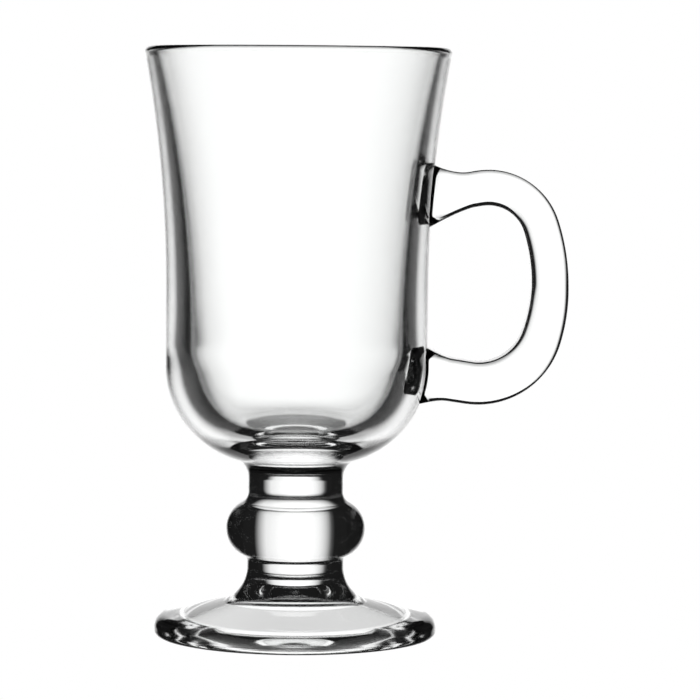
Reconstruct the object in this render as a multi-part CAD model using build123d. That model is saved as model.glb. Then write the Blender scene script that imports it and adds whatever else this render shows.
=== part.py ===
from build123d import *
import math
import os

# Irish coffee mug in pressed clear glass. Lengths are in millimetres, angles in degrees.
# The origin is the centre of the ring that the foot rests on, +Z is up and the handle points along +X.

# Foot
foot_diameter = 70.0
foot_height = 8.5                # from the table to the seat of the stem
foot_edge_height = 4.75          # where the sloping top meets the outer edge, before rounding
foot_edge_lower_radius = 1.3
foot_edge_upper_radius = 3.5
foot_ring_inner_diameter = 54.0  # inside of the flat ring that touches the table
foot_hollow_depth = 12.2         # from the table up into the stem base
foot_hollow_top_diameter = 13.0  # where the sloping side of the hollow meets its top, before rounding
foot_hollow_rounding = 3.0

# Stem, from the foot up
stem_diameter = 23.9             # of the straight collar under the knop
stem_base_diameter = 36.0        # where it spreads onto the foot
stem_base_collar = 1.5
knop_rise = 18.1                 # from the seat of the stem to the middle of the knop
knop_diameter = 34.5
knop_outline_radius = 7.25
knop_lower_fillet = 1.5          # radius of the hollow curve between the collar and the knop
knop_upper_fillet = 3.0          # the same between the knop and the neck
neck_diameter = 23.5
neck_rise = 17.1                 # from the middle of the knop to the base of the bowl
neck_flare_height = 4.4
neck_flare_diameter = 29.0       # where it runs out under the bowl

# Bowl
bowl_height = 102.1
bowl_diameter = 64.9             # over the straight body
bowl_shoulder_height = 23.4      # of the rounded bottom
bowl_straight_height = 18.8      # of the straight body above it
bowl_wall = 6.15                 # at its thickest, where the inside starts to round towards the floor
bowl_floor = 8.2
bowl_floor_diameter = 25.0       # of the flat floor inside
bowl_inside_rounding = 20.1      # height of the rounding between the floor and the wall
rim_diameter = 75.7
rim_thickness = 3.0
rim_edge_radius = 1.45

# Handle
handle_reach = 34.5              # from the bowl's straight body to the outside of the handle
handle_below_rim = 29.8          # from the rim down to the top of the handle
handle_above_base = 14.2         # from the bowl's base up to the bottom of the handle
upper_bow_radius = 13.7          # of the strap's middle line at the upper bend
lower_bow_radius = 16.3
grip_bend = 18.2                 # degrees that the grip leans in above and below its middle
upper_arm_rise = 10.0            # degrees that the upper arm climbs away from the bowl
lower_arm_drop = 8.4             # degrees that the lower arm falls away from the bowl
strap_width = 11.0
strap_edge_radius = 2.4
upper_arm_thickness = 8.8
grip_thickness = 9.1             # of the upright stretch that the fingers hold
lower_arm_thickness = 10.6
upper_root_growth = 6.7          # extra thickness where the upper arm meets the bowl
upper_root_length = 10.3
lower_root_growth = 3.4
lower_root_length = 5.4
root_width_growth = 1.5          # extra width where both arms meet the bowl
root_width_length = 4.0
root_embed = 4.0                 # how far the strap starts inside the bowl before it is trimmed
strap_stations = 60
root_curve = 1.5                 # power by which the growth at the roots fades

# Limits that keep a rounding inside its wall when a size is changed
rounding_limit = 0.49            # share of an edge that one rounding may take
bow_limit = 0.7                  # share of half the handle's height that one bow may take

# Levels, from the table up
base_level = foot_height
knop_middle = base_level + knop_rise
bowl_level = knop_middle + neck_rise
shoulder_level = bowl_level + bowl_shoulder_height
flare_level = shoulder_level + bowl_straight_height
rim_level = bowl_level + bowl_height
lip_radius = min(rim_edge_radius, rounding_limit * rim_thickness)
lip_level = rim_level - lip_radius  # where the walls end and the rounding of the lip starts

foot_radius = foot_diameter / 2
stem_radius = stem_diameter / 2
stem_base_radius = stem_base_diameter / 2
knop_radius = knop_diameter / 2
neck_radius = neck_diameter / 2
neck_flare_radius = neck_flare_diameter / 2
bowl_radius = bowl_diameter / 2
rim_radius = rim_diameter / 2


def turned(*outline):
    """The solid that a closed outline of (radius, height) edges makes when it turns once about the axis."""
    return revolve(Plane.XZ * make_face(Curve() + list(outline)), axis=Axis.Z)


def make_hollow():
    """The hollow that the press leaves under the foot and up into the stem base."""
    hollow_top = (0, foot_hollow_depth)
    hollow_edge = (foot_hollow_top_diameter / 2, foot_hollow_depth)
    ring_edge = (foot_ring_inner_diameter / 2, 0)
    return turned(
        FilletPolyline(hollow_top, hollow_edge, ring_edge, radius=foot_hollow_rounding),
        Polyline(ring_edge, (0, 0), hollow_top),
    )


def make_foot():
    slope = math.atan2(foot_height - foot_edge_height, foot_radius - stem_base_radius)
    lower_radius = min(foot_edge_lower_radius, rounding_limit * foot_edge_height)
    upper_room = 2 * rounding_limit * foot_edge_height - lower_radius
    upper_radius = min(foot_edge_upper_radius, upper_room / math.tan((math.pi / 2 - slope) / 2))
    seat_edge = (stem_base_radius, foot_height)
    disc = turned(
        FilletPolyline(
            (0, 0),
            (foot_radius, 0),
            (foot_radius, foot_edge_height),
            seat_edge,
            radius=(lower_radius, upper_radius),
        ),
        Polyline(seat_edge, (0, foot_height), (0, 0)),
    )
    return disc - make_hollow()


def knop_fillet(straight_radius, fillet_radius):
    """The hollow curve between a straight stretch of the stem and the knop.

    It gives the radius at which the curve runs out on the knop, and how far from the knop's middle
    the curve starts on the straight stretch and runs out on the knop.
    """
    centre = knop_radius - knop_outline_radius
    across = straight_radius + fillet_radius - centre
    start = math.sqrt((knop_outline_radius + fillet_radius) ** 2 - across**2)
    share = knop_outline_radius / (knop_outline_radius + fillet_radius)
    return centre + across * share, start, start * share


def make_stem_base():
    joint_radius, fillet_start, fillet_end = knop_fillet(stem_radius, knop_lower_fillet)
    collar_top = (stem_radius, knop_middle - fillet_start)
    collar = (stem_radius, knop_middle - fillet_start - stem_base_collar)
    spread = (stem_base_radius, base_level)
    joint = (joint_radius, knop_middle - fillet_end)
    block = turned(
        TangentArc(collar, spread, tangent=(0, -1)),
        Polyline(spread, (0, base_level), (0, joint[1]), joint),
        TangentArc(collar_top, joint, tangent=(0, 1)),
        Line(collar_top, collar),
    )
    return block - make_hollow()


def make_knop():
    lower_radius, _, lower_end = knop_fillet(stem_radius, knop_lower_fillet)
    upper_radius, _, upper_end = knop_fillet(neck_radius, knop_upper_fillet)
    lower_joint = (lower_radius, knop_middle - lower_end)
    upper_joint = (upper_radius, knop_middle + upper_end)
    return turned(
        ThreePointArc(lower_joint, (knop_radius, knop_middle), upper_joint),
        Polyline(upper_joint, (0, upper_joint[1]), (0, lower_joint[1]), lower_joint),
    )


def make_neck():
    joint_radius, fillet_start, fillet_end = knop_fillet(neck_radius, knop_upper_fillet)
    joint = (joint_radius, knop_middle + fillet_end)
    neck_bottom = (neck_radius, knop_middle + fillet_start)
    flare_start = (neck_radius, bowl_level - neck_flare_height)
    flare_end = (neck_flare_radius, bowl_level)
    return turned(
        TangentArc(neck_bottom, joint, tangent=(0, -1)),
        Line(neck_bottom, flare_start),
        TangentArc(flare_start, flare_end, tangent=(0, 1)),
        Polyline(flare_end, (0, bowl_level), (0, joint[1]), joint),
    )


def bowl_outside():
    """The outer outline of the bowl, from the edge of its base up to the lip."""
    base_edge = (neck_flare_radius, bowl_level)
    shoulder = (bowl_radius, shoulder_level)
    flare_start = (bowl_radius, flare_level)
    lip_edge = (rim_radius, lip_level)
    return [
        TangentArc(shoulder, base_edge, tangent=(0, -1)),
        Line(shoulder, flare_start),
        TangentArc(flare_start, lip_edge, tangent=(0, 1)),
    ]


def make_bowl():
    inside_radius = bowl_radius - bowl_wall
    floor_radius = bowl_floor_diameter / 2
    floor_level = bowl_level + bowl_floor
    round_level = floor_level + bowl_inside_rounding
    lip_outside = (rim_radius, lip_level)
    lip_inside = (rim_radius - rim_thickness, lip_level)
    top_outside = (rim_radius - lip_radius, rim_level)
    top_inside = (rim_radius - rim_thickness + lip_radius, rim_level)
    return turned(
        *bowl_outside(),
        TangentArc(lip_outside, top_outside, tangent=(0, 1)),
        Line(top_outside, top_inside),
        TangentArc(lip_inside, top_inside, tangent=(0, 1)),
        TangentArc((inside_radius, round_level), lip_inside, tangent=(0, 1)),
        EllipticalCenterArc(
            (floor_radius, round_level),
            inside_radius - floor_radius,
            bowl_inside_rounding,
            start_angle=270,
            arc_size=90,
        ),
        Polyline((floor_radius, floor_level), (0, floor_level), (0, bowl_level), (neck_flare_radius, bowl_level)),
    )


def make_bowl_block():
    """The bowl filled up to its rim, which trims the roots of the handle to the wall."""
    return turned(
        *bowl_outside(),
        Polyline((rim_radius, lip_level), (0, lip_level), (0, bowl_level), (neck_flare_radius, bowl_level)),
    )


def handle_path():
    """The middle line of the strap, from inside the bowl at the upper root to inside it at the lower one."""
    side = bowl_radius + handle_reach - grip_thickness / 2
    start = bowl_radius - root_embed
    top = rim_level - handle_below_rim - upper_arm_thickness / 2
    bottom = bowl_level + handle_above_base + lower_arm_thickness / 2
    half_height = (top - bottom) / 2
    bend = math.radians(grip_bend)
    rise = math.radians(upper_arm_rise)
    drop = math.radians(lower_arm_drop)

    upper_bow = min(upper_bow_radius, bow_limit * half_height)
    lower_bow = min(lower_bow_radius, bow_limit * half_height)
    upper_grip = (half_height - upper_bow * (1 - math.sin(bend))) / math.sin(bend)
    lower_grip = (half_height - lower_bow * (1 - math.sin(bend))) / math.sin(bend)
    crest = side - upper_grip * (1 - math.cos(bend)) - upper_bow * math.cos(bend)
    arm_end = Vector(crest - upper_bow * math.sin(rise), top - upper_bow * (1 - math.cos(rise)))
    arm_start = (start, arm_end.Y - (arm_end.X - start) * math.tan(rise))

    stretches = [Line(arm_start, arm_end)]
    for radius, turn in (
        (upper_bow, 90 - grip_bend + upper_arm_rise),
        (upper_grip, grip_bend),
        (lower_grip, grip_bend),
        (lower_bow, 90 - grip_bend + lower_arm_drop),
    ):
        last = stretches[-1]
        stretches.append(JernArc(last @ 1, last % 1, radius, -turn))
    lower_end = stretches[-1] @ 1
    stretches.append(Line(lower_end, (start, lower_end.Y + (lower_end.X - start) * math.tan(drop))))
    return Plane.XZ * Wire(stretches)


def root_share(distance, length):
    """How much of a root's growth is left at a distance from the wall: all of it at the wall, none past length."""
    return min(1, max(0, 1 - distance / length)) ** root_curve


def strap_section(path, share):
    """The rounded strap section at a share of the path, thicker and wider towards both roots."""
    from_upper = path.length * share - root_embed
    from_lower = path.length * (1 - share) - root_embed
    arm_thickness = upper_arm_thickness if share < 0.5 else lower_arm_thickness
    grip_share = (1 - abs(2 * share - 1)) ** 2
    thickness = (
        arm_thickness
        + (grip_thickness - arm_thickness) * grip_share
        + upper_root_growth * root_share(from_upper, upper_root_length)
        + lower_root_growth * root_share(from_lower, lower_root_length)
    )
    width = strap_width + root_width_growth * root_share(min(from_upper, from_lower), root_width_length)
    edge = min(strap_edge_radius, rounding_limit * strap_width, rounding_limit * thickness)
    plane = Plane(origin=path @ share, x_dir=(0, 1, 0), z_dir=path % share)
    return plane * RectangleRounded(width, thickness, edge)


def make_handle():
    path = handle_path()
    shares = [(1 - math.cos(math.pi * step / strap_stations)) / 2 for step in range(strap_stations + 1)]
    strap = loft([strap_section(path, share) for share in shares])
    return strap - make_bowl_block()


pieces = {
    "foot": make_foot(),
    "stem_base": make_stem_base(),
    "stem_knop": make_knop(),
    "stem_neck": make_neck(),
    "bowl": make_bowl(),
    "handle": make_handle(),
}

os.makedirs("parts", exist_ok=True)
for name, piece in pieces.items():
    export_step(piece, f"parts/{name}.step")
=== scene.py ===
# Irish coffee mug in clear pressed glass, put together from the foot up. Lengths are in metres.
import math

import bmesh
import bpy
from mathutils import Matrix, Vector


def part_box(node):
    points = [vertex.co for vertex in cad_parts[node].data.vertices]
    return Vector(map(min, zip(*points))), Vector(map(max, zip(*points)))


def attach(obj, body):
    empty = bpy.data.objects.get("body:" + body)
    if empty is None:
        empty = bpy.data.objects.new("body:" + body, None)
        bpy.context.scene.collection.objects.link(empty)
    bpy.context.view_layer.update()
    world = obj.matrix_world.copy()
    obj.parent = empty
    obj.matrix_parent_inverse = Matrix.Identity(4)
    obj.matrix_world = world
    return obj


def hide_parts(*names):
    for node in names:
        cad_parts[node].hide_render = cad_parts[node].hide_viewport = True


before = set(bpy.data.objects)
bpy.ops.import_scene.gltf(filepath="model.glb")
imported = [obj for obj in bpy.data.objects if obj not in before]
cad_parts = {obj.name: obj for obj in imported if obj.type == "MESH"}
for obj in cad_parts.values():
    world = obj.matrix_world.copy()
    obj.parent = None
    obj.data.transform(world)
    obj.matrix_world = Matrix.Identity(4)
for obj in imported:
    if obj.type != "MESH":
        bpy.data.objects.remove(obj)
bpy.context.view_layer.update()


# Foot: the round, sloping disc that the mug stands on, with a flat resting ring and a hollow underneath.
# It is pressed in a mould from the same clear soda-lime glass as the rest of the mug.
# The flat seat on its top is where the stem is fused to it.
foot_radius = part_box("foot")[1].x
foot_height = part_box("foot")[1].z
foot_seat_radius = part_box("stem_base")[1].x
foot_edge_height = 0.00475
foot_edge_lower_radius = 0.0013
foot_edge_upper_radius = 0.0035
foot_ring_inner_radius = 0.0270
hollow_depth = 0.0122
hollow_top_radius = 0.0065

facets_round = 256
longest_facet = 0.0010
widest_facet_turn = math.radians(2)
crease_angle = math.radians(35)
same_point = 1e-7
glass_face = 0
joint_face = 1

glass_tint = (0.985, 0.990, 0.987, 1)
glass_refraction = 1.52
waves_per_metre = 70
wave_detail = 1
wave_height = 0.00001
haze_specks_per_metre = 400
haze_detail = 3
clearest_roughness = 0.0
haziest_roughness = 0.12


def straight(start, end):
    """Points along a straight stretch of an outline."""
    run = Vector(end) - Vector(start)
    steps = max(2, math.ceil(run.length / longest_facet))
    return [Vector(start) + run * step / steps for step in range(steps + 1)]


def bend(start, heading, end):
    """Points along the arc that leaves start along heading and arrives at end."""
    heading = Vector(heading)
    chord = Vector(end) - Vector(start)
    half_turn = math.atan2(heading.cross(chord), heading.dot(chord))
    diameter = chord.length / math.sin(half_turn)
    steps = math.ceil(max(2 * abs(half_turn) / widest_facet_turn, abs(diameter * half_turn) / longest_facet))
    points = []
    for step in range(steps + 1):
        turn = half_turn * step / steps
        points.append(Vector(start) + Matrix.Rotation(turn, 2) @ heading * diameter * math.sin(turn))
    return points


def rounded(before, corner, after, radius):
    """Points round a corner of an outline that is rounded off."""
    arriving = (Vector(corner) - Vector(before)).normalized()
    leaving = (Vector(after) - Vector(corner)).normalized()
    reach = radius * math.tan(arriving.angle(leaving) / 2)
    return bend(Vector(corner) - arriving * reach, arriving, Vector(corner) + leaving * reach)


def joined(*stretches):
    """One outline from stretches that may end where the next one starts."""
    points = []
    for stretch in stretches:
        for point in stretch:
            if not points or (Vector(point) - points[-1]).length > same_point:
                points.append(Vector(point))
    return points


def skin(shape, ring, next_ring, finish):
    """Faces between two rings of corners, either of which may be a single corner."""
    for step in range(max(len(ring), len(next_ring))):
        corners = [
            ring[step % len(ring)],
            ring[(step + 1) % len(ring)],
            next_ring[(step + 1) % len(next_ring)],
            next_ring[step % len(next_ring)],
        ]
        face = shape.faces.new(list(dict.fromkeys(corners)))
        face.material_index = finish


def around(radius, turn, height):
    """The point at a radius and a height, turned about the mug's axis."""
    return radius * math.cos(turn), radius * math.sin(turn), height


def turned(shape, *stretches):
    """Turns stretches of (finish, outline) about the axis, and returns the ring of corners at each point."""
    rings = []
    for finish, outline in stretches:
        for radius, height in outline[min(1, len(rings)):]:
            facets = facets_round if radius > same_point else 1
            turns = [2 * math.pi * facet / facets for facet in range(facets)]
            rings.append([shape.verts.new(around(radius, turn, height)) for turn in turns])
            if len(rings) > 1:
                skin(shape, rings[-2], rings[-1], finish)
    return rings


def make_clear_glass():
    """Clear pressed glass with a breath of green, and the shallow waves that mould and fire polish leave."""
    material = bpy.data.materials.new("clear_glass")
    material.use_nodes = True
    nodes = material.node_tree.nodes
    link = material.node_tree.links.new
    shader = nodes["Principled BSDF"]
    shader.inputs["Base Color"].default_value = glass_tint
    shader.inputs["Transmission Weight"].default_value = 1
    shader.inputs["IOR"].default_value = glass_refraction

    place = nodes.new("ShaderNodeTexCoord")
    waves = nodes.new("ShaderNodeTexNoise")
    waves.inputs["Scale"].default_value = waves_per_metre
    waves.inputs["Detail"].default_value = wave_detail
    surface = nodes.new("ShaderNodeBump")
    surface.inputs["Strength"].default_value = 1
    surface.inputs["Distance"].default_value = wave_height
    link(place.outputs["Object"], waves.inputs["Vector"])
    link(waves.outputs["Fac"], surface.inputs["Height"])
    link(surface.outputs["Normal"], shader.inputs["Normal"])

    haze = nodes.new("ShaderNodeTexNoise")
    haze.inputs["Scale"].default_value = haze_specks_per_metre
    haze.inputs["Detail"].default_value = haze_detail
    polish = nodes.new("ShaderNodeMapRange")
    polish.inputs["To Min"].default_value = clearest_roughness
    polish.inputs["To Max"].default_value = haziest_roughness
    link(place.outputs["Object"], haze.inputs["Vector"])
    link(haze.outputs["Fac"], polish.inputs["Value"])
    link(polish.outputs["Result"], shader.inputs["Roughness"])
    return material


def make_fused_joint():
    """The fused face between two pieces, where the glass runs on and nothing shows."""
    material = bpy.data.materials.new("fused_joint")
    material.use_nodes = True
    nodes = material.node_tree.nodes
    nodes.remove(nodes["Principled BSDF"])
    clear = nodes.new("ShaderNodeBsdfTransparent")
    material.node_tree.links.new(clear.outputs["BSDF"], nodes["Material Output"].inputs["Surface"])
    return material


clear_glass = make_clear_glass()
fused_joint = make_fused_joint()


def glass_piece(name, shape):
    """A piece of clear glass from a closed shape, with its fused faces clear and its creases kept sharp."""
    bmesh.ops.remove_doubles(shape, verts=shape.verts, dist=same_point)
    bmesh.ops.recalc_face_normals(shape, faces=shape.faces)
    for face in shape.faces:
        face.smooth = True
    for edge in shape.edges:
        finishes = {face.material_index for face in edge.link_faces}
        edge.smooth = len(finishes) == 1 and edge.calc_face_angle(0) < crease_angle
    mesh = bpy.data.meshes.new(name)
    shape.to_mesh(mesh)
    shape.free()
    mesh.materials.append(clear_glass)
    mesh.materials.append(fused_joint)
    piece = bpy.data.objects.new(name, mesh)
    bpy.context.scene.collection.objects.link(piece)
    return piece


ring_inside = (foot_ring_inner_radius, 0)
ring_outside = (foot_radius, 0)
foot_edge = (foot_radius, foot_edge_height)
foot_seat = (foot_seat_radius, foot_height)
hollow_edge = (hollow_top_radius, hollow_depth)
seat_inside = Vector(ring_inside).lerp(Vector(hollow_edge), foot_height / hollow_depth)
lower_edge = rounded(ring_inside, ring_outside, foot_edge, foot_edge_lower_radius)
upper_edge = rounded(ring_outside, foot_edge, foot_seat, foot_edge_upper_radius)
foot_outline = joined(
    straight(ring_inside, lower_edge[0]),
    lower_edge,
    upper_edge,
    straight(upper_edge[-1], foot_seat),
)
foot_shape = bmesh.new()
turned(
    foot_shape,
    (glass_face, foot_outline),
    (joint_face, [Vector(foot_seat), seat_inside]),
    (glass_face, straight(seat_inside, ring_inside)),
)
foot = glass_piece("foot_glass", foot_shape)
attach(foot, "root")
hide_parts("foot")


# Stem base: the lower stem, which flares out onto the foot under a short straight collar.
# It is clear glass, pressed with the foot and fused to it at the foot's seat.
# The hollow under the foot runs up into it, and a small hollow curve leads from its collar to the knop.
base_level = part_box("stem_base")[0].z
stem_radius = 0.01195
stem_base_collar = 0.0015
hollow_rounding = 0.0030
knop_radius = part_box("stem_knop")[1].x
knop_rise = 0.0181
knop_middle = base_level + knop_rise
knop_outline_radius = 0.00725
knop_centre_radius = knop_radius - knop_outline_radius
knop_lower_fillet = 0.0015


def knop_fillet(straight_radius, fillet_radius):
    """The hollow curve between a straight stretch of the stem and the knop.

    Returns the radius where it runs out on the knop, and how far from the knop's middle it starts and ends.
    """
    across = straight_radius + fillet_radius - knop_centre_radius
    start = math.sqrt((knop_outline_radius + fillet_radius) ** 2 - across**2)
    share = knop_outline_radius / (knop_outline_radius + fillet_radius)
    return knop_centre_radius + across * share, start, start * share


lower_joint_radius, lower_fillet_start, lower_fillet_end = knop_fillet(stem_radius, knop_lower_fillet)
hollow_top = (0, hollow_depth)
hollow_bend = rounded(hollow_top, hollow_edge, ring_inside, hollow_rounding)
base_spread = (foot_seat_radius, base_level)
collar_bottom = (stem_radius, knop_middle - lower_fillet_start - stem_base_collar)
collar_top = (stem_radius, knop_middle - lower_fillet_start)
lower_joint = (lower_joint_radius, knop_middle - lower_fillet_end)
base_hollow = joined(
    straight(hollow_top, hollow_bend[0]),
    hollow_bend,
    straight(hollow_bend[-1], seat_inside),
)
base_outside = joined(
    reversed(bend(collar_bottom, (0, -1), base_spread)),
    straight(collar_bottom, collar_top),
    bend(collar_top, (0, 1), lower_joint),
)
base_shape = bmesh.new()
turned(
    base_shape,
    (glass_face, base_hollow),
    (joint_face, [seat_inside, Vector(base_spread)]),
    (glass_face, base_outside),
    (joint_face, [Vector(lower_joint), Vector((0, lower_joint[1]))]),
)
stem_base = glass_piece("stem_base_glass", base_shape)
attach(stem_base, "root")
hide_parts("stem_base")


# Stem knop: the round bulge in the middle of the stem, between two small hollow curves.
# It is solid clear glass, pressed with the stem, and fused to the stem base below and the neck above.
neck_radius = 0.01175
knop_upper_fillet = 0.0030

upper_joint_radius, upper_fillet_start, upper_fillet_end = knop_fillet(neck_radius, knop_upper_fillet)
upper_joint = (upper_joint_radius, knop_middle + upper_fillet_end)
knop_heading = Vector((lower_fillet_end, lower_joint_radius - knop_centre_radius)).normalized()
knop_shape = bmesh.new()
turned(
    knop_shape,
    (joint_face, [Vector((0, lower_joint[1])), Vector(lower_joint)]),
    (glass_face, bend(lower_joint, knop_heading, upper_joint)),
    (joint_face, [Vector(upper_joint), Vector((0, upper_joint[1]))]),
)
stem_knop = glass_piece("stem_knop_glass", knop_shape)
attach(stem_knop, "root")
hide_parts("stem_knop")


# Stem neck: the short neck that carries the bowl, waisted like a spool between the knop and the bowl's base.
# It is solid clear glass, fused to the knop below it and to the bowl above it.
bowl_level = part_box("stem_neck")[1].z
neck_flare_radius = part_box("stem_neck")[1].x
neck_flare_height = 0.0044

neck_bottom = (neck_radius, knop_middle + upper_fillet_start)
neck_flare = (neck_radius, bowl_level - neck_flare_height)
neck_top = (neck_flare_radius, bowl_level)
neck_outside = joined(
    reversed(bend(neck_bottom, (0, -1), upper_joint)),
    straight(neck_bottom, neck_flare),
    bend(neck_flare, (0, 1), neck_top),
)
neck_shape = bmesh.new()
turned(
    neck_shape,
    (joint_face, [Vector((0, upper_joint[1])), Vector(upper_joint)]),
    (glass_face, neck_outside),
    (joint_face, [Vector(neck_top), Vector((0, bowl_level))]),
)
stem_neck = glass_piece("stem_neck_glass", neck_shape)
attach(stem_neck, "root")
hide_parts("stem_neck")


# Handle: the closed strap for two fingers, flat at the front and back with softly rounded edges.
# It is clear glass, pressed with the bowl, and both its roots swell as they run into the bowl's wall.
# It follows a middle line of two straight arms with four arcs between them, and both ends lie on the wall.
rim_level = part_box("bowl")[1].z
rim_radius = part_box("bowl")[1].y
bowl_radius = 0.03245
bowl_shoulder_height = 0.0234
bowl_straight_height = 0.0188
lip_radius = 0.00145
shoulder_level = bowl_level + bowl_shoulder_height
flare_level = shoulder_level + bowl_straight_height
lip_level = rim_level - lip_radius

handle_below_rim = 0.0298
handle_above_base = 0.0142
grip_bend = math.radians(18.2)
upper_arm_rise = math.radians(10)
lower_arm_drop = math.radians(8.4)
upper_bow_radius = 0.0137
lower_bow_radius = 0.0163
strap_width = 0.0110
strap_edge_radius = 0.0024
upper_arm_thickness = 0.0088
grip_thickness = 0.0091
lower_arm_thickness = 0.0106
upper_root_growth = 0.0060
upper_root_length = 0.0095
lower_root_growth = 0.0034
lower_root_length = 0.0054
root_width_growth = 0.0015
root_width_length = 0.0040
root_curve = 1.5                          # power by which the swelling at a root fades
root_lean_length = 0.0080                 # stretch over which the strap's rings lean over to the wall
root_patch_shares = (0.75, 0.5, 0.25, 0)  # size of each ring in a root's fused face
strap_rings = 160
edge_facets = 8
strap_side_facets = (24, 26, 24, 26)      # along the four sides of the section, from the lower one round
wall_tries = 8


def curve_radius(start, end):
    """Radius of the arc that leaves start upright and passes through end."""
    run = Vector(end) - Vector(start)
    return run.length_squared / (2 * abs(run.x))


shoulder_curve = curve_radius((bowl_radius, shoulder_level), (neck_flare_radius, bowl_level))
flare_curve = curve_radius((bowl_radius, flare_level), (rim_radius, lip_level))


def wall_radius(height):
    """Outer radius of the bowl at a height: a rounded shoulder, a straight body and a flare up to the lip."""
    if height < shoulder_level:
        return bowl_radius - shoulder_curve + math.sqrt(shoulder_curve**2 - (shoulder_level - height) ** 2)
    if height > flare_level:
        return bowl_radius + flare_curve - math.sqrt(flare_curve**2 - (height - flare_level) ** 2)
    return bowl_radius


def to_wall(point, heading):
    """Slides a point along a heading until it lies on the outside of the bowl."""
    for _ in range(wall_tries):
        gap = math.sqrt(wall_radius(point.z) ** 2 - point.y**2) - point.x
        point = point + heading * (gap / heading.x)
    return point


handle_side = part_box("handle")[1].x - grip_thickness / 2
handle_top = rim_level - handle_below_rim - upper_arm_thickness / 2
handle_bottom = bowl_level + handle_above_base + lower_arm_thickness / 2
half_height = (handle_top - handle_bottom) / 2
upper_grip_radius = (half_height - upper_bow_radius * (1 - math.sin(grip_bend))) / math.sin(grip_bend)
lower_grip_radius = (half_height - lower_bow_radius * (1 - math.sin(grip_bend))) / math.sin(grip_bend)
crest = handle_side - upper_grip_radius * (1 - math.cos(grip_bend)) - upper_bow_radius * math.cos(grip_bend)
upper_arm_end = Vector((
    crest - upper_bow_radius * math.sin(upper_arm_rise),
    0,
    handle_top - upper_bow_radius * (1 - math.cos(upper_arm_rise)),
))
upper_root = to_wall(upper_arm_end, Vector((math.cos(upper_arm_rise), 0, math.sin(upper_arm_rise))))
upper_arm_length = (upper_arm_end - upper_root).length
strap_bends = [
    (upper_arm_length, 0),
    (upper_bow_radius * (math.pi / 2 - grip_bend + upper_arm_rise), 1 / upper_bow_radius),
    (upper_grip_radius * grip_bend, 1 / upper_grip_radius),
    (lower_grip_radius * grip_bend, 1 / lower_grip_radius),
    (lower_bow_radius * (math.pi / 2 - grip_bend + lower_arm_drop), 1 / lower_bow_radius),
    (math.inf, 0),
]


def strap_place(distance):
    """The point of the strap's middle line at a distance from the upper root, and the heading there."""
    point = upper_root.copy()
    angle = upper_arm_rise
    for length, curvature in strap_bends:
        step = min(distance, length)
        turn = step * curvature
        chord = 2 * math.sin(turn / 2) / curvature if curvature else step
        point += chord * Vector((math.cos(angle - turn / 2), 0, math.sin(angle - turn / 2)))
        angle -= turn
        distance -= step
        if distance <= 0:
            break
    return point, Vector((math.cos(angle), 0, math.sin(angle)))


curved_length = sum(length for length, curvature in strap_bends if curvature)
lower_arm_start, lower_heading = strap_place(upper_arm_length + curved_length)
lower_root = to_wall(lower_arm_start, lower_heading)
strap_length = upper_arm_length + curved_length + (lower_root - lower_arm_start).length


def root_share(distance, length):
    """How much of a root's swelling is left at a distance from the wall."""
    return min(1, max(0, 1 - distance / length)) ** root_curve


def strap_section(distance):
    """Corners (across, up) of the strap's rounded section at a distance from the upper root."""
    share = distance / strap_length
    arm_thickness = upper_arm_thickness if share < 0.5 else lower_arm_thickness
    grip_share = (1 - abs(2 * share - 1)) ** 2
    half_thickness = (
        arm_thickness
        + (grip_thickness - arm_thickness) * grip_share
        + upper_root_growth * root_share(distance, upper_root_length)
        + lower_root_growth * root_share(strap_length - distance, lower_root_length)
    ) / 2
    nearest_root = min(distance, strap_length - distance)
    half_width = (strap_width + root_width_growth * root_share(nearest_root, root_width_length)) / 2
    flat_ends = Vector((half_width - strap_edge_radius, half_thickness - strap_edge_radius))
    section = []
    for side, facets in enumerate(strap_side_facets):
        turn = Matrix.Rotation(side * math.pi / 2, 2)
        half_flat = flat_ends.x if side % 2 == 0 else flat_ends.y
        offset = flat_ends.y if side % 2 == 0 else flat_ends.x
        flat_facets = facets - 2 * edge_facets
        for facet in range(facets):
            flat = min(max(facet - edge_facets, 0), flat_facets) / flat_facets
            corner = min(facet - edge_facets, 0) + max(facet - edge_facets - flat_facets, 0)
            angle = corner / edge_facets * math.pi / 4
            point = Vector((
                (2 * flat - 1) * half_flat + strap_edge_radius * math.sin(angle),
                -offset - strap_edge_radius * math.cos(angle),
            ))
            section.append(turn @ point)
    return section


def strap_corner(distance, across, up):
    """A corner of the strap's skin, on a ring that leans over near a root to end on the wall."""
    def at(place, heading):
        return place + Vector((-heading.z * up, across, heading.x * up))

    for root, from_root in ((0, distance), (strap_length, strap_length - distance)):
        if from_root < root_lean_length:
            place, heading = strap_place(root)
            lean = (to_wall(at(place, heading), heading) - at(place, heading)).dot(heading)
            distance += lean * (1 - from_root / root_lean_length)
    return at(*strap_place(distance))


def root_patch(distance):
    """Rings of corners that cover a root where it lies on the wall, from its edge to its middle."""
    section = strap_section(distance)
    rings = [[strap_corner(distance, *point) for point in section]]
    for share in root_patch_shares:
        corners = section if share else section[:1]
        rings.append([strap_corner(distance, *(share * point)) for point in corners])
    return rings


def cover(shape, edge, rings):
    """Fused faces that fill an edge of corners, ring by ring towards the middle."""
    for ring in rings:
        corners = [shape.verts.new(corner) for corner in ring]
        skin(shape, edge, corners, joint_face)
        edge = corners


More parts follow.
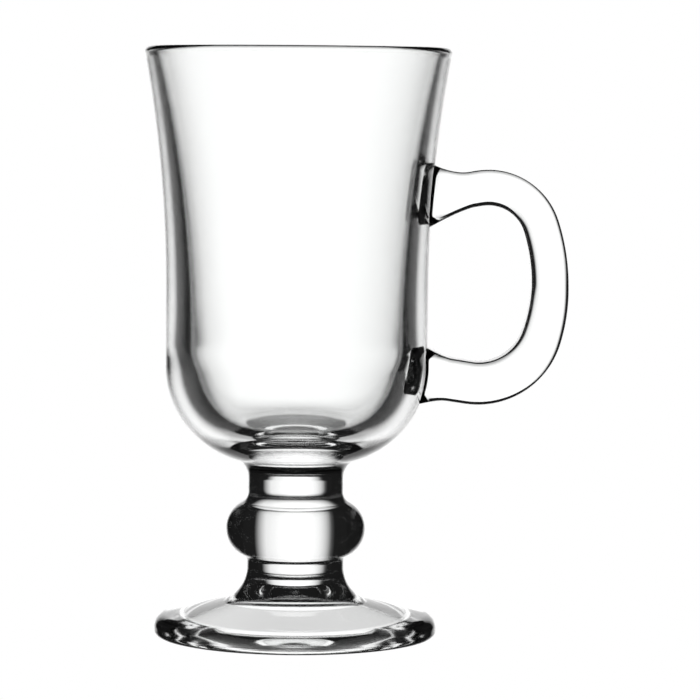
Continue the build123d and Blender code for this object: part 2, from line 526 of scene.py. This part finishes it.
upper_patch = root_patch(0)
lower_patch = root_patch(strap_length)
handle_shape = bmesh.new()
handle_rings = []
for ring in range(strap_rings + 1):
    distance = strap_length * (1 - math.cos(math.pi * ring / strap_rings)) / 2
    corners = [strap_corner(distance, *point) for point in strap_section(distance)]
    handle_rings.append([handle_shape.verts.new(corner) for corner in corners])
for ring, next_ring in zip(handle_rings, handle_rings[1:]):
    skin(handle_shape, ring, next_ring, glass_face)
cover(handle_shape, handle_rings[0], upper_patch[1:])
cover(handle_shape, handle_rings[-1], lower_patch[1:])
handle = glass_piece("handle_glass", handle_shape)
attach(handle, "root")
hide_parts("handle")


# Bowl: the drinking bowl, with a rounded bottom, a straight body and a flare up to a fire-polished lip.
# It is pressed clear glass with a heavy wall that thins towards the lip, and a thick floor over the neck.
# The neck is fused under its base, and the two roots of the handle to its wall.
bowl_wall = 0.00615
bowl_floor = 0.0082
bowl_floor_radius = 0.0125
bowl_inside_rounding = 0.0201
rim_thickness = 0.0030
round_steps = 48
root_half_rows = strap_side_facets[1] // 2
root_half_columns = strap_side_facets[0] // 2
wall_steps_to_root = 3

inside_radius = bowl_radius - bowl_wall
floor_level = bowl_level + bowl_floor
round_level = floor_level + bowl_inside_rounding
shoulder = (bowl_radius, shoulder_level)
flare_start = (bowl_radius, flare_level)
lip_outside = (rim_radius, lip_level)
lip_inside = (rim_radius - rim_thickness, lip_level)
top_outside = (rim_radius - lip_radius, rim_level)
top_inside = (rim_radius - rim_thickness + lip_radius, rim_level)
inside_corner = []
for step in range(round_steps + 1):
    angle = math.pi / 2 * step / round_steps
    radius = bowl_floor_radius + (inside_radius - bowl_floor_radius) * math.cos(angle)
    inside_corner.append((radius, round_level - bowl_inside_rounding * math.sin(angle)))
bowl_outside = joined(
    reversed(bend(shoulder, (0, -1), (neck_flare_radius, bowl_level))),
    straight(shoulder, flare_start),
    bend(flare_start, (0, 1), lip_outside),
)
bowl_inside = joined(
    bend(lip_outside, (0, 1), top_outside),
    straight(top_outside, top_inside),
    bend(top_inside, (-1, 0), lip_inside),
    reversed(bend((inside_radius, round_level), (0, 1), lip_inside)),
    inside_corner,
    straight((bowl_floor_radius, floor_level), (0, floor_level)),
)
bowl_shape = bmesh.new()
bowl_rings = turned(
    bowl_shape,
    (joint_face, [Vector((0, bowl_level)), Vector((neck_flare_radius, bowl_level))]),
    (glass_face, joined(bowl_outside, bowl_inside)),
)


def fuse_root(root, patch):
    """Opens the wall round a root of the handle, and fills the opening with wall and the fused patch."""
    outside_rings = bowl_rings[1 : len(bowl_outside) + 1]
    heights = [ring[facets_round // 2].co.z for ring in outside_rings]
    middle_row = min(range(len(heights)), key=lambda row: abs(heights[row] - root.z))
    rows = outside_rings[middle_row - root_half_rows : middle_row + root_half_rows + 1]
    grid = [[row[column] for column in range(-root_half_columns, root_half_columns + 1)] for row in rows]
    right = [row[-1] for row in grid]
    left = [row[0] for row in grid]
    edge = grid[0][:-1] + right[:-1] + grid[-1][:0:-1] + left[:0:-1]
    inside = {corner for row in grid for corner in row}
    opened = {face for corner in inside for face in corner.link_faces if inside.issuperset(face.verts)}
    bmesh.ops.delete(bowl_shape, geom=list(opened), context="FACES")

    starts = [(math.atan2(corner.co.y, corner.co.x), corner.co.z) for corner in edge]
    ends = [(math.atan2(corner.y, corner.x), corner.z) for corner in patch[0]]
    for step in range(1, wall_steps_to_root + 1):
        next_edge = []
        for start, end in zip(starts, ends):
            angle, height = Vector(start).lerp(Vector(end), step / wall_steps_to_root)
            next_edge.append(bowl_shape.verts.new(around(wall_radius(height), angle, height)))
        skin(bowl_shape, edge, next_edge, glass_face)
        edge = next_edge
    cover(bowl_shape, edge, patch[1:])


def turned_over(ring):
    """A ring of corners, listed the other way round from its upper left, for the root that is upside down."""
    upper_left = sum(strap_side_facets[:3])
    return [ring[(upper_left - step) % len(ring)] for step in range(len(ring))]


fuse_root(upper_root, upper_patch)
fuse_root(lower_root, [turned_over(ring) if len(ring) > 1 else ring for ring in lower_patch])
bowl = glass_piece("bowl_glass", bowl_shape)
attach(bowl, "root")
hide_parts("bowl")


# Table and light: a white table, and a large white card far behind the mug that the glass is seen against.
# The card fades out to both sides, which draws the dark edges that show the form of clear glass.
# It hangs from the camera, so that the mug is lit alike from every side.
table_half_size = 3.0
table_gap = 0.0002
camera_distance = 0.890
card_behind_mug = 10.000
card_distance = camera_distance + card_behind_mug
card_half_width = 8.0

# Heights on the card, from the camera's line of sight.
card_top = 4.1
card_narrow_level = 0.12                  # the light is narrowest from here up
card_wide_level = -0.48                   # and widest from here down
card_full_level = -2.5                    # it is brightest from here up
card_dim_level = -6.0                     # and dimmest from here down
card_bottom = -8.5

card_low_spread = 1.28
card_strength = 1.25
card_low_strength = 0.60
dark_surround = 0.01

# Degrees to the left and right of the card's middle, seen from the mug, and the brightness there.
card_fade = [
    (-26.3, dark_surround),
    (-24.3, 0.05),
    (-23.2, 0.10),
    (-21.1, 0.34),
    (-19.2, 0.52),
    (-16.7, 0.70),
    (-14.6, 0.82),
    (-8.0, 1.0),
    (3.0, 1.0),
    (11.0, 0.85),
    (17.0, 0.74),
    (19.5, 0.55),
    (22.4, 0.30),
    (24.0, 0.14),
    (26.0, dark_surround),
]


def flat_sheet(name, corners, material):
    """A flat sheet of the studio, which isn't part of the mug."""
    mesh = bpy.data.meshes.new(name)
    mesh.from_pydata(corners, [], [(0, 1, 2, 3)])
    mesh.materials.append(material)
    sheet = bpy.data.objects.new(name, mesh)
    bpy.context.scene.collection.objects.link(sheet)
    return sheet


def glowing(name):
    """A plain white material that gives off light."""
    material = bpy.data.materials.new(name)
    material.use_nodes = True
    nodes = material.node_tree.nodes
    nodes.remove(nodes["Principled BSDF"])
    glow = nodes.new("ShaderNodeEmission")
    material.node_tree.links.new(glow.outputs["Emission"], nodes["Material Output"].inputs["Surface"])
    return material


def ranged(material, value, from_range, to_range):
    """A value that runs over one range while another value runs over its own, and stops at both ends."""
    node = material.node_tree.nodes.new("ShaderNodeMapRange")
    node.inputs["From Min"].default_value, node.inputs["From Max"].default_value = from_range
    node.inputs["To Min"].default_value, node.inputs["To Max"].default_value = to_range
    material.node_tree.links.new(value, node.inputs["Value"])
    return node.outputs["Result"]


def make_card_light():
    """White light that fades to both sides, spreads wider low on the card and is dimmer near its bottom."""
    material = glowing("card_light")
    nodes = material.node_tree.nodes
    link = material.node_tree.links.new
    place = nodes.new("ShaderNodeTexCoord")
    split = nodes.new("ShaderNodeSeparateXYZ")
    link(place.outputs["Object"], split.inputs["Vector"])
    height = split.outputs["Y"]

    across = nodes.new("ShaderNodeMath")
    across.operation = "DIVIDE"
    spread = ranged(material, height, (card_wide_level, card_narrow_level), (card_low_spread, 1))
    link(split.outputs["X"], across.inputs[0])
    link(spread, across.inputs[1])
    ramp = nodes.new("ShaderNodeValToRGB")
    elements = ramp.color_ramp.elements
    while len(elements) < len(card_fade):
        elements.new(0.5)
    for element, (angle, brightness) in zip(elements, card_fade):
        side = card_behind_mug * math.tan(math.radians(angle))
        element.position = (1 + side / card_half_width) / 2
        element.color = (brightness, brightness, brightness, 1)
    fade_place = ranged(material, across.outputs["Value"], (-card_half_width, card_half_width), (0, 1))
    link(fade_place, ramp.inputs["Fac"])
    link(ramp.outputs["Color"], nodes["Emission"].inputs["Color"])

    strength = ranged(material, height, (card_dim_level, card_full_level), (card_low_strength, card_strength))
    link(strength, nodes["Emission"].inputs["Strength"])
    return material


table_corners = [(-1, -1), (1, -1), (1, 1), (-1, 1)]
table = flat_sheet(
    "table",
    [(x * table_half_size, y * table_half_size, -table_gap) for x, y in table_corners],
    glowing("white_table"),
)

# The glass bends and mirrors the card alone, and the table shows only round the mug.
table.visible_transmission = False
table.visible_glossy = False

light_card = flat_sheet(
    "light_card",
    [
        (-card_half_width, card_bottom, -card_distance),
        (card_half_width, card_bottom, -card_distance),
        (card_half_width, card_top, -card_distance),
        (-card_half_width, card_top, -card_distance),
    ],
    make_card_light(),
)
light_card.visible_camera = False
light_card.visible_diffuse = False
light_card.visible_shadow = False

studio = bpy.data.worlds.new("studio")
studio.use_nodes = True
bpy.context.scene.world = studio
studio_nodes = studio.node_tree.nodes
rays = studio_nodes.new("ShaderNodeLightPath")
surround = studio_nodes.new("ShaderNodeMapRange")
surround.inputs["To Min"].default_value = dark_surround
surround.inputs["To Max"].default_value = 1
studio_nodes["Background"].inputs["Color"].default_value = (1, 1, 1, 1)
studio.node_tree.links.new(rays.outputs["Is Camera Ray"], surround.inputs["Value"])
studio.node_tree.links.new(surround.outputs["Result"], studio_nodes["Background"].inputs["Strength"])


# Camera: just below the level of the rim and a little to the handle's side, looking slightly down.
# It leans by less than half a degree, as the mug does in the picture that it follows.
camera_side = 0.0132
camera_height = 0.1357
camera_pitch = math.radians(4.155)
camera_roll = math.radians(0.45)
camera_lens_mm = 185.3
camera_sensor_mm = 36
glass_bounces = 32
mirror_bounces = 8

camera = bpy.data.objects.new("camera", bpy.data.cameras.new("camera"))
camera.data.lens = camera_lens_mm
camera.data.sensor_width = camera_sensor_mm
camera.matrix_world = (
    Matrix.Translation((camera_side, -camera_distance, camera_height))
    @ Matrix.Rotation(math.pi / 2 - camera_pitch, 4, "X")
    @ Matrix.Rotation(camera_roll, 4, "Z")
)
bpy.context.scene.collection.objects.link(camera)
bpy.context.scene.camera = camera
light_card.parent = camera

# Light passes through many faces of the glass on its way to the camera.
scene = bpy.context.scene
scene.view_settings.view_transform = "Standard"
scene.cycles.max_bounces = glass_bounces
scene.cycles.transmission_bounces = glass_bounces
scene.cycles.transparent_max_bounces = glass_bounces
scene.cycles.glossy_bounces = mirror_bounces
scene.cycles.caustics_refractive = True
scene.cycles.caustics_reflective = True
scene.cycles.blur_glossy = 0
